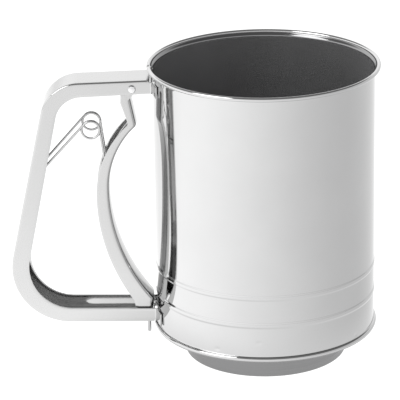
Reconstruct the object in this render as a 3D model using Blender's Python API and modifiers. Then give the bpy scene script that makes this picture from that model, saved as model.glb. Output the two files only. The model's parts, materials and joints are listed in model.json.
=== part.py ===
"""Flour sifter: a can with a screen in its base, and a squeeze trigger that stirs the flour.

Every length below is in millimetres, about the can's own axis, with the handle toward -X
and z = 0 on the surface that the sifter stands on. MM turns a length into metres. The root
empty moves the whole object so that the origin is the centre of its footprint.
"""

import math

import bmesh
import bpy
from mathutils import Matrix, Vector

MM = 0.001

# Driving dimensions
CAN_X = 32.68
ROUND_STEPS = 48
SMALL_ROUND_STEPS = 24
GAP = 0.3

# Can
WALL_RADIUS = 51.7
CAN_SHEET = 0.45
MOUTH_RADIUS = 52.36
RIM_TUBE_RADIUS = 1.03
RIM_CENTRE_Z = 141.3
FLARE_START_Z = 139.4
RIBS_Z = ((43.4, 46.5), (29.8, 33.0))
RIB_HEIGHT = 0.5
RIB_EDGE = 0.6
BEAD_RADIUS = 53.0
BEAD_TOP_Z = 16.0
BEAD_BOTTOM_Z = 13.3
LIP_RADIUS = 46.0

# Base
PAN_SHEET = 0.5
PAN_FLANGE_Z = 14.1
PAN_SKIRT_TOP_Z = 20.0
COLLAR_RADIUS = 37.2
COLLAR_HEM = 2.2
SCREEN_RADIUS = 44.0
SCREEN_Z = (14.9, 15.3)
RING_Z = (15.6, 16.2)
RING_INNER_RADIUS = 38.5
BRIDGE_Z = (13.0, 14.0)
BRIDGE_WIDTH = 9.0
BRIDGE_LUG_DROP = 7.0

# Stirrer, threaded on one pin
PIN_RADIUS = 2.0
PIN_HOLE_RADIUS = 2.3
PIN_HEAD_RADIUS = 4.4
PIN_LOW_HEAD_Z = (11.2, 12.7)
PIN_TOP_HEAD_Z = (24.2, 25.7)
WASHER_RADIUS = 5.0
LOWER_WASHER_Z = (14.3, 14.6)
UPPER_WASHER_Z = (15.6, 16.2)
SPACER_Z = (16.5, 21.9)
SPACER_RADIUS = 4.4
TOP_WASHER_Z = (23.3, 23.9)
BLADE_COUNT = 6
BLADE_Z = (16.5, 21.9)
BLADE_SHEET = 0.6
BLADE_RADII = (7.0, 35.5)
BLADE_WAVE = 1.4
BLADE_WAVES = 5
FIRST_BLADE_AZIMUTH = 30.0
STAR_Z = (22.2, 23.0)
STAR_HUB_RADIUS = 9.0
STAR_ARM_WIDTH = 5.0
STAR_ARM_RADIUS = 36.0
CRANK_AZIMUTH = 60.0
CRANK_WIDTH = 8.0
CRANK_RADIUS = 24.0
CRANK_SLOT_RADII = (15.4, 21.2)
CRANK_SLOT_WIDTH = 3.2

# Drive rod
ROD_RADIUS = 0.9
ROD_BEND = 1.8
ROD_Z = 24.5
ROD_OUTER = (-55.6, 0.0)
ROD_INNER = (9.85, 17.0)
ROD_OUTER_END_Z = 8.1
ROD_INNER_END_Z = 19.2
ROD_CLIP_Z = (20.6, 21.2)
ROD_CLIP_RADIUS = 2.6
WALL_SLOT_Y = (-0.8, 8.0)
WALL_SLOT_Z = (22.6, 26.4)

# Handle, an open channel of bent sheet
HANDLE_SHEET = 0.8
HANDLE_HALF_WIDTH = 9.0
CHANNEL_BEND = 0.9
HANDLE_WEB = ((-53.0, 137.0), (-100.6, 135.7), (-126.3, 17.4), (-53.0, 16.8))
HANDLE_WEB_RADII = (18.5, 27.3)
HANDLE_EDGE = ((-53.0, 130.7), (-94.8, 129.0), (-116.2, 24.6), (-53.0, 23.5))
HANDLE_EDGE_RADII = (12.5, 20.5)
TAB_DEGREES = (8.6, 18.5)
TOP_TAB_Z = (130.9, 135.7)
LOW_TAB_Z = (18.8, 23.3)
FLANGE_END_LENGTH = 1.5
FLANGE_END_OVERLAP = 0.5
HANDLE_SLOT_X = (-86.4, -51.0)
HANDLE_SLOT_HALF_WIDTH = 4.2
HANDLE_SLOT_Z = (14.0, 20.0)

# Trigger, a narrower channel inside the handle
TRIGGER_SHEET = 0.8
TRIGGER_HALF_WIDTH = 7.4
TRIGGER_BEND = 1.9
TRIGGER_CROWN = 0.6
# Each rail: neck, kink and its radius, outermost point, radii above and below it, lowest z, foot
TRIGGER_WEB = (((-62.3, 130.4), (-61.3, 125.6)), (-59.1, 114.3), 2.2, (-72.6, 83.5), 42.0, 88.0, 28.0, (-53.4, 20.2))
TRIGGER_EDGE = (((-66.5, 129.8), (-66.7, 125.8)), (-63.2, 115.2), 2.0, (-78.9, 80.0), 47.0, 93.0, 27.6, (-60.6, 20.2))
KINK_TO_BOW = 3.0
PIVOT = (-61.2, 133.0)
EAR_RADIUS = 2.8
EAR_ROOT = ((-66.0, 124.7), (-65.4, 124.7))
PIVOT_HOLE_RADIUS = 1.45
PIVOT_HOLE_REACH = 12.0
RIVET_RADIUS = 1.2
RIVET_HEAD_RADIUS = 1.9
RIVET_HEAD_HEIGHT = 0.9
FOOT_Z = (19.8, 20.6)
# One half of the foot plate in plan; the other half mirrors it
FOOT_OUTLINE = ((-60.0, 7.0), (-56.0, 7.0), (-54.7, 4.6), (-53.7, 1.5))
FOOT_HOLE_RADIUS = 1.5
WEB_SLOT_X = (-57.0, -50.0)
WEB_SLOT_Y = (-2.2, 3.2)
WEB_SLOT_Z = (21.4, 27.5)

# Spring, one wire with a coil each side
SPRING_WIRE_RADIUS = 0.55
SPRING_COIL = (-80.8, 112.7)
SPRING_COIL_RADIUS = 4.2
SPRING_COIL_Y = (5.5, 7.2)
SPRING_TRIGGER_END = (-74.0, 93.0)
SPRING_GRIP_BEND = (-108.0, 88.5)

COLOURS = {
    "polished_steel": ((0.80, 0.80, 0.81, 1.0), 0.12),
    "brushed_steel": ((0.62, 0.62, 0.63, 1.0), 0.35),
    "formed_steel": ((0.70, 0.70, 0.71, 1.0), 0.25),
    "mesh_steel": ((0.55, 0.55, 0.56, 1.0), 0.40),
    "wire_steel": ((0.66, 0.66, 0.67, 1.0), 0.28),
}


def clear_scene():
    for obj in list(bpy.data.objects):
        bpy.data.objects.remove(obj, do_unlink=True)


def new_collection(name):
    made = bpy.data.collections.new(name)
    bpy.context.scene.collection.children.link(made)
    return made


clear_scene()
PARTS = new_collection("flour_sifter")
CUTTERS = new_collection("cutters")
ROOT = bpy.data.objects.new("sifter_root", None)
ROOT.location = (CAN_X * MM, 0, 0)
PARTS.objects.link(ROOT)


# Making objects


def steel(piece_name, kind):
    colour, roughness = COLOURS[kind]
    material = bpy.data.materials.new(piece_name + "_" + kind)
    material.use_nodes = True
    shader = material.node_tree.nodes["Principled BSDF"]
    shader.inputs["Base Color"].default_value = colour
    shader.inputs["Metallic"].default_value = 1.0
    shader.inputs["Roughness"].default_value = roughness
    return material


def object_from(name, shape, kind=None, origin=(0.0, 0.0, 0.0)):
    """Links a bmesh in millimetres as a part, or as a cutter when it has no material."""
    bmesh.ops.translate(shape, verts=shape.verts, vec=-Vector(origin))
    bmesh.ops.scale(shape, verts=shape.verts, vec=(MM, MM, MM))
    mesh = bpy.data.meshes.new(name)
    shape.to_mesh(mesh)
    shape.free()
    obj = bpy.data.objects.new(name, mesh)
    obj.location = Vector(origin) * MM
    obj.parent = ROOT
    if kind:
        PARTS.objects.link(obj)
        mesh.materials.append(steel(name, kind))
        mesh.shade_smooth()
        mesh.set_sharp_from_angle(angle=math.radians(35))
    else:
        CUTTERS.objects.link(obj)
        obj.hide_render = True
        obj.display_type = "WIRE"
    return obj


def thicken(obj, sheet):
    modifier = obj.modifiers.new("sheet", "SOLIDIFY")
    modifier.thickness = sheet * MM
    modifier.offset = -1.0
    modifier.use_even_offset = True


def combine(obj, other, operation):
    modifier = obj.modifiers.new(other.name, "BOOLEAN")
    modifier.operation = operation
    modifier.solver = "EXACT"
    modifier.object = other


def turned(name, profile, closed, kind, origin=(0.0, 0.0, 0.0), steps=ROUND_STEPS):
    """Turns (radius, z) points about a vertical axis. They run down the outer side."""
    shape = bmesh.new()
    verts = [shape.verts.new((radius, 0, z)) for radius, z in profile]
    for first, second in zip(verts, verts[1:]):
        shape.edges.new((first, second))
    if closed:
        shape.edges.new((verts[-1], verts[0]))
    bmesh.ops.translate(shape, verts=shape.verts, vec=origin)
    obj = object_from(name, shape, kind, origin)
    screw = obj.modifiers.new("turn", "SCREW")
    screw.axis = "Z"
    screw.steps = steps
    screw.render_steps = steps
    screw.use_merge_vertices = True
    screw.merge_threshold = 0.00001
    screw.use_smooth_shade = True
    return obj


def ring_profile(inner, outer, low, high):
    return [(inner, high), (outer, high), (outer, low), (inner, low)]


def cylinder(radius, start, end, segments=24):
    shape = bmesh.new()
    start, end = Vector(start), Vector(end)
    turn = (end - start).to_track_quat("Z", "Y").to_matrix().to_4x4()
    bmesh.ops.create_cone(
        shape,
        cap_ends=True,
        segments=segments,
        radius1=radius,
        radius2=radius,
        depth=(end - start).length,
        matrix=Matrix.Translation((start + end) / 2) @ turn,
    )
    return shape


def box(x, y, z, turn_degrees=0.0):
    shape = bmesh.new()
    size = Matrix.Diagonal((x[1] - x[0], y[1] - y[0], z[1] - z[0], 1))
    centre = Matrix.Translation((sum(x) / 2, sum(y) / 2, sum(z) / 2))
    turn = Matrix.Rotation(math.radians(turn_degrees), 4, "Z")
    bmesh.ops.create_cube(shape, size=1.0, matrix=turn @ centre @ size)
    return shape


def grid(rows):
    """An open surface through equal rows of points."""
    shape = bmesh.new()
    made = [[shape.verts.new(point) for point in row] for row in rows]
    for first, second in zip(made, made[1:]):
        for index in range(len(first) - 1):
            shape.faces.new((first[index], first[index + 1], second[index + 1], second[index]))
    return shape


def wire(name, splines, radius, kind, origin=(0.0, 0.0, 0.0)):
    """A round wire with flat ends along each list of points."""
    curve = bpy.data.curves.new(name, "CURVE")
    curve.dimensions = "3D"
    curve.bevel_depth = radius * MM
    curve.bevel_resolution = 2
    curve.use_fill_caps = True
    for points in splines:
        spline = curve.splines.new("POLY")
        spline.points.add(len(points) - 1)
        for place, point in zip(spline.points, points):
            place.co = (*((Vector(point) - Vector(origin)) * MM), 1.0)
    obj = bpy.data.objects.new(name, curve)
    obj.location = Vector(origin) * MM
    obj.parent = ROOT
    PARTS.objects.link(obj)
    curve.materials.append(steel(name, kind))
    return obj


# Lines and arcs in a plane


def arc(centre, radius, start_degrees, end_degrees, steps):
    points = []
    for step in range(steps + 1):
        angle = math.radians(start_degrees + (end_degrees - start_degrees) * step / steps)
        points.append((centre[0] + radius * math.cos(angle), centre[1] + radius * math.sin(angle)))
    return points


def line(start, end, steps):
    start, end = Vector(start), Vector(end)
    return [tuple(start.lerp(end, step / steps)) for step in range(steps + 1)]


def rounded_corner(before, corner, after, radius, steps):
    """The arc that rounds one corner of an outline."""
    before, corner, after = Vector(before), Vector(corner), Vector(after)
    back = (before - corner).normalized()
    ahead = (after - corner).normalized()
    half = back.angle(ahead) / 2
    centre = corner + (back + ahead).normalized() * radius / math.sin(half)
    start = corner + back * radius / math.tan(half) - centre
    end = corner + ahead * radius / math.tan(half) - centre
    first = math.degrees(math.atan2(start.y, start.x))
    turn = math.degrees(math.atan2(end.y, end.x)) - first
    turn = (turn + 180) % 360 - 180
    return arc(centre, radius, first, first + turn, steps)


def handle_rail(corners, radii):
    """Both rails take the same number of steps on each stretch, so that their points pair up."""
    top_corner = rounded_corner(*corners[0:3], radii[0], 7)
    low_corner = rounded_corner(*corners[1:4], radii[1], 8)
    rail = line(corners[0], top_corner[0], 2)[:-1] + top_corner
    rail += line(top_corner[-1], low_corner[0], 3)[1:-1] + low_corner
    return rail + line(low_corner[-1], corners[3], 2)[1:]


def trigger_rail(neck, kink, kink_radius, waist, upper_radius, lower_radius, low_z, foot):
    """The neck, the bow in two arcs that meet at its outermost point, and the foot."""
    rise = math.degrees(math.asin((kink[1] - KINK_TO_BOW - waist[1]) / upper_radius))
    drop = math.degrees(math.asin((waist[1] - low_z) / lower_radius))
    upper = arc((waist[0] + upper_radius, waist[1]), upper_radius, 180 - rise, 180, 5)
    lower = arc((waist[0] + lower_radius, waist[1]), lower_radius, 180, 180 + drop, 9)
    corner = rounded_corner(neck[-1], kink, upper[0], kink_radius, 2)
    return [*neck, *corner, *upper, *lower[1:], foot]


def half_section(depth, half_width, bend, crown):
    """Half the outline across a bent sheet: a flange, a bend and the web, flat or bulging by its crown."""
    if crown == 0:
        return [(0.0, half_width)] + arc((depth - bend, half_width - bend), bend, 90, 0, 2)
    radius = (half_width**2 + crown**2) / (2 * crown)
    lean = math.degrees(math.asin(half_width / radius))
    web = arc((depth - radius, 0), radius, lean * 0.7, 0, 2)
    corner = rounded_corner((0.0, half_width), (depth - crown, half_width), web[0], bend, 1)
    return [(0.0, half_width), *corner, *web[:-1]]


def channel(web, edge, half_width, bend, crown=0.0):
    """The outer face of a bent sheet: a flange, a bend, the web, a bend and a flange at each station."""
    rows = []
    for web_point, edge_point in zip(web, edge):
        web_point, edge_point = Vector(web_point), Vector(edge_point)
        depth = (web_point - edge_point).length
        across = (web_point - edge_point) / depth
        section = half_section(depth, half_width, bend, crown)
        section += [(along, -side) for along, side in reversed(section)]
        row = []
        for along, side in section:
            place = edge_point + across * along
            row.append((place.x, side, place.y))
        rows.append(row)
    return grid(rows)


# The can and its base


def make_can():
    centre = (MOUTH_RADIUS + RIM_TUBE_RADIUS, RIM_CENTRE_Z)
    profile = arc(centre, RIM_TUBE_RADIUS - CAN_SHEET, -115, 180, 8)
    profile.append((WALL_RADIUS, FLARE_START_Z))
    for low, high in RIBS_Z:
        profile.append((WALL_RADIUS, high))
        profile.append((WALL_RADIUS + RIB_HEIGHT, high - RIB_EDGE))
        profile.append((WALL_RADIUS + RIB_HEIGHT, low + RIB_EDGE))
        profile.append((WALL_RADIUS, low))
    bulge = BEAD_RADIUS - WALL_RADIUS
    profile.append((WALL_RADIUS, BEAD_TOP_Z))
    profile.append((BEAD_RADIUS, BEAD_TOP_Z - bulge / 2))
    profile.append((BEAD_RADIUS, BEAD_BOTTOM_Z + bulge / 2))
    profile.append((BEAD_RADIUS - bulge / 2, BEAD_BOTTOM_Z))
    profile.append((LIP_RADIUS, BEAD_BOTTOM_Z))
    can = turned("can_body", profile, False, "polished_steel")
    thicken(can, CAN_SHEET)
    slot = box((-WALL_RADIUS - 3, -WALL_RADIUS + 4), WALL_SLOT_Y, WALL_SLOT_Z)
    combine(can, object_from("wall_slot_cutter", slot), "DIFFERENCE")


def make_rim_wire():
    centre = (MOUTH_RADIUS + RIM_TUBE_RADIUS, RIM_CENTRE_Z)
    radius = RIM_TUBE_RADIUS - CAN_SHEET - GAP
    section = arc(centre, radius, 90, -270, 8)[:-1]
    turned("rim_wire", section, True, "wire_steel")


def make_base_pan():
    skirt_radius = WALL_RADIUS - CAN_SHEET - GAP
    profile = [
        (skirt_radius, PAN_SKIRT_TOP_Z),
        (skirt_radius, PAN_FLANGE_Z),
        (COLLAR_RADIUS, PAN_FLANGE_Z),
        (COLLAR_RADIUS, 0.0),
        (COLLAR_RADIUS - COLLAR_HEM, 0.0),
    ]
    pan = turned("base_pan", profile, False, "brushed_steel")
    thicken(pan, PAN_SHEET)


def make_screen():
    turned("sieve_screen", ring_profile(PIN_HOLE_RADIUS, SCREEN_RADIUS, *SCREEN_Z), True, "mesh_steel")
    turned("screen_ring", ring_profile(RING_INNER_RADIUS, SCREEN_RADIUS, *RING_Z), True, "formed_steel")


def make_bridge():
    """A strap across the collar, with its ends bent down against the collar's inside."""
    reach = math.sqrt((COLLAR_RADIUS - PAN_SHEET - GAP) ** 2 - (BRIDGE_WIDTH / 2) ** 2)
    half = BRIDGE_WIDTH / 2
    low, high = BRIDGE_Z
    profile = [(-reach, low - BRIDGE_LUG_DROP), (-reach, high), (reach, high), (reach, low - BRIDGE_LUG_DROP)]
    rows = [[(x, side, z) for side in (half, -half)] for x, z in profile]
    bridge = object_from("pivot_bridge", grid(rows), "formed_steel")
    thicken(bridge, high - low)
    hole = cylinder(PIN_HOLE_RADIUS, (0, 0, low - 1), (0, 0, high + 1))
    combine(bridge, object_from("bridge_hole_cutter", hole), "DIFFERENCE")


# The stirrer


def make_pivot_pin():
    low, top = PIN_LOW_HEAD_Z, PIN_TOP_HEAD_Z
    profile = [
        (0.0, top[1]),
        (PIN_HEAD_RADIUS * 0.7, top[1]),
        (PIN_HEAD_RADIUS, top[0] + 0.5),
        (PIN_HEAD_RADIUS, top[0]),
        (PIN_RADIUS, top[0]),
        (PIN_RADIUS, low[1]),
        (PIN_HEAD_RADIUS, low[1]),
        (PIN_HEAD_RADIUS, low[0] + 0.4),
        (PIN_HEAD_RADIUS * 0.8, low[0]),
        (0.0, low[0]),
    ]
    turned("pivot_pin", profile, False, "brushed_steel", steps=SMALL_ROUND_STEPS)


def make_washers():
    stack = {
        "lower_washer": (WASHER_RADIUS, LOWER_WASHER_Z),
        "upper_washer": (WASHER_RADIUS, UPPER_WASHER_Z),
        "agitator_spacer": (SPACER_RADIUS, SPACER_Z),
        "top_washer": (WASHER_RADIUS, TOP_WASHER_Z),
    }
    for name, (radius, span) in stack.items():
        section = ring_profile(PIN_HOLE_RADIUS, radius, *span)
        turned(name, section, True, "brushed_steel", steps=SMALL_ROUND_STEPS)


def blade_azimuths():
    return [FIRST_BLADE_AZIMUTH + 360 / BLADE_COUNT * index for index in range(BLADE_COUNT)]


def make_star():
    """A flat star of arms about a hub, with one wider arm that carries the rod's slot."""
    low, high = STAR_Z
    hub = cylinder(STAR_HUB_RADIUS, (0, 0, low), (0, 0, high), 36)
    star = object_from("agitator_star", hub, "formed_steel")
    half = STAR_ARM_WIDTH / 2
    for azimuth in blade_azimuths()[: BLADE_COUNT // 2]:
        bar = box((-STAR_ARM_RADIUS, STAR_ARM_RADIUS), (-half, half), STAR_Z, azimuth)
        combine(star, object_from("star_bar_" + str(int(azimuth)), bar), "UNION")
    half = CRANK_WIDTH / 2
    crank = box((0.0, CRANK_RADIUS), (-half, half), STAR_Z, CRANK_AZIMUTH)
    combine(star, object_from("crank_arm", crank), "UNION")
    hole = cylinder(PIN_HOLE_RADIUS, (0, 0, low - 1), (0, 0, high + 1))
    combine(star, object_from("star_hole_cutter", hole), "DIFFERENCE")
    half = CRANK_SLOT_WIDTH / 2
    slot = box(CRANK_SLOT_RADII, (-half, half), (low - 1, high + 1), CRANK_AZIMUTH)
    combine(star, object_from("crank_slot_cutter", slot), "DIFFERENCE")


def make_blades():
    """Upright wavy strips under the star's arms, which push the flour about on the screen."""
    inner, outer = BLADE_RADII
    steps = BLADE_WAVES * 2
    for number, azimuth in enumerate(blade_azimuths(), start=1):
        turn = Matrix.Rotation(math.radians(azimuth), 3, "Z")
        rows = []
        for step in range(steps + 1):
            reach = inner + (outer - inner) * step / steps
            side = BLADE_WAVE * math.sin(math.pi * (step + 0.5)) + BLADE_SHEET / 2
            rows.append([tuple(turn @ Vector((reach, side, z))) for z in BLADE_Z])
        blade = object_from("agitator_blade_" + str(number), grid(rows), "formed_steel")
        thicken(blade, BLADE_SHEET)


def make_drive_rod():
    """A wire bent down at both ends: the trigger's foot holds one and the star's slot the other."""
    outer, inner = Vector(ROD_OUTER), Vector(ROD_INNER)
    length = (inner - outer).length
    along = (inner - outer) / length
    side_view = [(0.0, ROD_OUTER_END_Z), (0.0, ROD_Z), (length, ROD_Z), (length, ROD_INNER_END_Z)]
    path = [side_view[0]]
    path += rounded_corner(*side_view[0:3], ROD_BEND, 4)
    path += rounded_corner(*side_view[1:4], ROD_BEND, 4)
    path.append(side_view[3])
    points = [(*(outer + along * reach), z) for reach, z in path]
    wire("drive_rod", [points], ROD_RADIUS, "wire_steel", (*ROD_OUTER, ROD_Z))


def make_rod_clip():
    origin = (*ROD_INNER, 0.0)
    section = ring_profile(ROD_RADIUS + GAP, ROD_CLIP_RADIUS, *ROD_CLIP_Z)
    turned("rod_clip", section, True, "brushed_steel", origin, SMALL_ROUND_STEPS)


# The handle


def wall_tab(name, side, z_span):
    """A strip of the flange's end, bent round the can's wall."""
    radius = WALL_RADIUS + GAP
    rows = []
    for step in range(5):
        angle = math.radians(TAB_DEGREES[0] + (TAB_DEGREES[1] - TAB_DEGREES[0]) * step / 4)
        x, y = -radius * math.cos(angle), side * radius * math.sin(angle)
        rows.append([(x, y, z) for z in (z_span if side < 0 else reversed(z_span))])
    tab = object_from(name, grid(rows))
    thicken(tab, HANDLE_SHEET)
    return tab


def flange_end(name, side, z_span):
    """The short stretch that carries a flange up to its tab."""
    inner, outer = HANDLE_HALF_WIDTH - HANDLE_SHEET, HANDLE_HALF_WIDTH
    y = (side * inner, side * outer) if side > 0 else (side * outer, side * inner)
    x = (HANDLE_WEB[0][0] - FLANGE_END_LENGTH, -WALL_RADIUS - GAP + FLANGE_END_OVERLAP)
    return object_from(name, box(x, y, z_span))


def pivot_hole():
    x, z = PIVOT
    return cylinder(PIVOT_HOLE_RADIUS, (x, -PIVOT_HOLE_REACH, z), (x, PIVOT_HOLE_REACH, z))


def make_handle():
    """A grip with an arm at each end, and a pair of tabs on each arm against the can."""
    web = handle_rail(HANDLE_WEB, HANDLE_WEB_RADII)
    edge = handle_rail(HANDLE_EDGE, HANDLE_EDGE_RADII)
    shape = channel(web, edge, HANDLE_HALF_WIDTH, CHANNEL_BEND)
    bmesh.ops.reverse_faces(shape, faces=shape.faces)
    handle = object_from("handle", shape, "formed_steel")
    thicken(handle, HANDLE_SHEET)
    for place, z_span in (("top", TOP_TAB_Z), ("low", LOW_TAB_Z)):
        for side, hand in ((1, "left"), (-1, "right")):
            combine(handle, flange_end(place + "_flange_end_" + hand, side, z_span), "UNION")
            combine(handle, wall_tab(place + "_tab_" + hand, side, z_span), "UNION")
    combine(handle, object_from("handle_pivot_cutter", pivot_hole()), "DIFFERENCE")
    half = HANDLE_SLOT_HALF_WIDTH
    slot = box(HANDLE_SLOT_X, (-half, half), HANDLE_SLOT_Z)
    combine(handle, object_from("handle_slot_cutter", slot), "DIFFERENCE")


def make_rivet():
    """The trigger's hinge, headed over outside both flanges of the handle."""
    x, z = PIVOT
    face = HANDLE_HALF_WIDTH + GAP
    head = [
        (0.0, face + RIVET_HEAD_HEIGHT),
        (RIVET_HEAD_RADIUS * 0.6, face + RIVET_HEAD_HEIGHT * 0.85),
        (RIVET_HEAD_RADIUS, face + RIVET_HEAD_HEIGHT * 0.3),
        (RIVET_HEAD_RADIUS, face),
        (RIVET_RADIUS, face),
    ]
    profile = head + [(radius, -along) for radius, along in reversed(head)]
    rivet = turned("trigger_pivot", profile, False, "brushed_steel", (x, 0.0, z), SMALL_ROUND_STEPS)
    rivet.rotation_euler = (math.radians(90), 0, 0)


# The trigger


def make_trigger():
    web, edge = trigger_rail(*TRIGGER_WEB), trigger_rail(*TRIGGER_EDGE)
    shape = channel(web, edge, TRIGGER_HALF_WIDTH, TRIGGER_BEND, TRIGGER_CROWN)
    trigger = object_from("trigger", shape, "formed_steel", (PIVOT[0], 0.0, PIVOT[1]))
    thicken(trigger, TRIGGER_SHEET)
    for side, hand in ((1, "left"), (-1, "right")):
        combine(trigger, pivot_ear("ear_" + hand, side), "UNION")
    combine(trigger, foot_plate(), "UNION")
    combine(trigger, object_from("trigger_pivot_cutter", pivot_hole()), "DIFFERENCE")
    foot_hole = cylinder(FOOT_HOLE_RADIUS, (*ROD_OUTER, FOOT_Z[0] - 2), (*ROD_OUTER, FOOT_Z[1] + 2))
    combine(trigger, object_from("foot_hole_cutter", foot_hole), "DIFFERENCE")
    slot = box(WEB_SLOT_X, WEB_SLOT_Y, WEB_SLOT_Z)
    combine(trigger, object_from("web_slot_cutter", slot), "DIFFERENCE")


def foot_plate():
    outline = list(FOOT_OUTLINE) + [(x, -y) for x, y in reversed(FOOT_OUTLINE)]
    shape = bmesh.new()
    shape.faces.new([shape.verts.new((x, y, FOOT_Z[1])) for x, y in reversed(outline)])
    plate = object_from("foot_plate", shape)
    thicken(plate, FOOT_Z[1] - FOOT_Z[0])
    return plate


def pivot_ear(name, side):
    """A flange's rounded end about the hinge, reaching down into the flange."""
    x, z = PIVOT
    outline = arc(PIVOT, EAR_RADIUS, -20, 170, 10) + list(EAR_ROOT)
    outer = TRIGGER_HALF_WIDTH * side
    shape = bmesh.new()
    points = outline if side > 0 else list(reversed(outline))
    shape.faces.new([shape.verts.new((px, outer, pz)) for px, pz in reversed(points)])
    ear = object_from(name, shape, None, (x, 0.0, z))
    thicken(ear, TRIGGER_SHEET)
    return ear


# The spring


def coil_side(side):
    """One side of the spring, from its end in the trigger, round its coil, to the bend in the grip."""
    inner_y, outer_y = SPRING_COIL_Y
    start = tangent_degrees(SPRING_TRIGGER_END, -1)
    end = tangent_degrees(SPRING_GRIP_BEND, 1)
    turn = (end - start) % 360 + 360
    steps = 26
    points = [(SPRING_TRIGGER_END[0], side * inner_y, SPRING_TRIGGER_END[1])]
    for step, (px, pz) in enumerate(arc(SPRING_COIL, SPRING_COIL_RADIUS, start, start + turn, steps)):
        points.append((px, side * (inner_y + (outer_y - inner_y) * step / steps), pz))
    points.append((SPRING_GRIP_BEND[0], side * inner_y, SPRING_GRIP_BEND[1]))
    return points


def tangent_degrees(point, hand):
    """Where a straight leg to this point leaves the coil's circle."""
    away = Vector(point) - Vector(SPRING_COIL)
    opening = math.degrees(math.acos(SPRING_COIL_RADIUS / away.length))
    return math.degrees(math.atan2(away.y, away.x)) - hand * opening


def make_spring():
    points = coil_side(1) + list(reversed(coil_side(-1)))
    x, z = SPRING_COIL
    wire("trigger_spring", [points], SPRING_WIRE_RADIUS, "wire_steel", (x, 0.0, z))


make_can()
make_rim_wire()
make_base_pan()
make_screen()
make_bridge()
make_pivot_pin()
make_washers()
make_star()
make_blades()
make_drive_rod()
make_rod_clip()
make_handle()
make_rivet()
make_trigger()
make_spring()
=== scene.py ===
"""Looks of the flour sifter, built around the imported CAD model.

Shapes are written in millimetres about the can's axis, with the handle toward -X, and
placed() turns them into the frame's metres. Every CAD node is replaced by a finer piece of
the same size, made of smooth bent sheet, turned rings or round wire.
"""

import json
import math

import bmesh
import bpy
import numpy as np
from mathutils import Matrix, Vector


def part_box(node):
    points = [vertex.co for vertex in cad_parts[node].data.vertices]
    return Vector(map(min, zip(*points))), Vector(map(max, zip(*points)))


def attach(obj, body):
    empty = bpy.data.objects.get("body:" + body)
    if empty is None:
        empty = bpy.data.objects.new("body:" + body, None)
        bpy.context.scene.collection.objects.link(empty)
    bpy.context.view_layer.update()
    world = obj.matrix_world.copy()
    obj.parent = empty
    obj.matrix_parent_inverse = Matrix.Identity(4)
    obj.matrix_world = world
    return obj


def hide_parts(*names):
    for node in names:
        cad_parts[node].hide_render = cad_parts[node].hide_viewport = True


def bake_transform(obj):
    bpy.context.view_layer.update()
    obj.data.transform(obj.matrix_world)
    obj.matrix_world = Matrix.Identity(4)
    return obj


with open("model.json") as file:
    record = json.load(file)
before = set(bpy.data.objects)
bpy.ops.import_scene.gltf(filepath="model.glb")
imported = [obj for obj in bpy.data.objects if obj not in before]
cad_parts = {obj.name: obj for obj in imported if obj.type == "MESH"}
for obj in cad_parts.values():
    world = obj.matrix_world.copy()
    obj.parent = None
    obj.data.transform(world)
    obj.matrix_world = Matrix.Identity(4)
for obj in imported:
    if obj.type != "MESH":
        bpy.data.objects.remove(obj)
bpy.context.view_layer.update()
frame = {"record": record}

MM = 0.001


def joint_named(name):
    return next(joint for joint in frame["record"]["behaviour"]["joints"] if joint["name"] == name)


def box_mm(node):
    """A CAD node's lowest and highest corners, in millimetres about the can's axis."""
    low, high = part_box(node)
    shift = Vector((AXIS_X, 0, 0))
    return (Vector(low) - shift) / MM, (Vector(high) - shift) / MM


AXIS_X = joint_named("agitator_turn")["pos_m"][0]
CAN_LOW, CAN_HIGH = box_mm("can_body")
PAN_LOW, PAN_HIGH = box_mm("base_pan")

# Can
ROUND_STEPS = 360
FLARE_STEPS = 8
WALL_RADIUS = 51.7
CAN_SHEET = 0.45
MOUTH_RADIUS = 52.38
RIM_TUBE_RADIUS = 1.01
FLARE_START_Z = 139.4
RIM_CENTRE_Z = CAN_HIGH.z - RIM_TUBE_RADIUS
RIM_CURL_DEGREES = (-115, 180)
RIM_CURL_STEPS = 36
RIM_WIRE_RADIUS = 0.45
RIBS_Z = ((43.4, 46.5), (29.8, 33.0))
RIB_HEIGHT = 0.32
RIB_EDGE = 1.1
# Rows of the wall: few above the ribs, dense across them, and some below for the dents
PLAIN_ROWS_Z = (50.0, 45)
RIB_ROWS_Z = (48.0, 28.0, 0.12)
LOW_ROW_SPACING = 0.5
BEAD_RADIUS = 52.95
BEAD_TOP_Z = 15.9
BEAD_BOTTOM_Z = CAN_LOW.z
BEAD_FILLET = 0.35
LIP_RADIUS = 46.0
WALL_SLOT_Y = (-0.8, 8.0)
WALL_SLOT_Z = (22.6, 26.4)
# A wall face is left out of the slot by its left corner, so these allow for the face's width
WALL_SLOT_ALLOWANCE = (0.8, 1.1)
WELD_MARKS = ((-117.0, 18.1), (-95.0, 22.9), (-36.6, 17.5), (24.0, 22.9), (84.0, 18.1), (144.0, 22.9))
WELD_MARK_RADIUS = 1.0
WELD_MARK_DEPTH = 0.28
WELD_MARK_FALL = 2.5
RIM_SEAM_AZIMUTH = 183.0
RIM_SEAM_DEGREES = 0.75
RIM_SEAM_INWARD = 0.55
RIM_SEAM_DROP = 0.35

# Base
PAN_SHEET = 0.5
PAN_FLANGE_Z = 14.1
COLLAR_RADIUS = 38.2
COLLAR_HEM = 2.2
PAN_BENDS = (0.8, 0.9, 0.7)
PAN_ROW_SPACING = 1.5
SKIRT_RADIUS = WALL_RADIUS - CAN_SHEET - 0.3
SCREEN_RADIUS = 43.6
SCREEN_Z = 15.1
SCREEN_PITCH = 1.5
SCREEN_WIRE_RADIUS = 0.16
SCREEN_WIRE_SIDES = 5
SCREEN_POINTS_A_PITCH = 4
SCREEN_RING_INNER_RADIUS = 38.5
PIN_HOLE_RADIUS = 2.3

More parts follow.
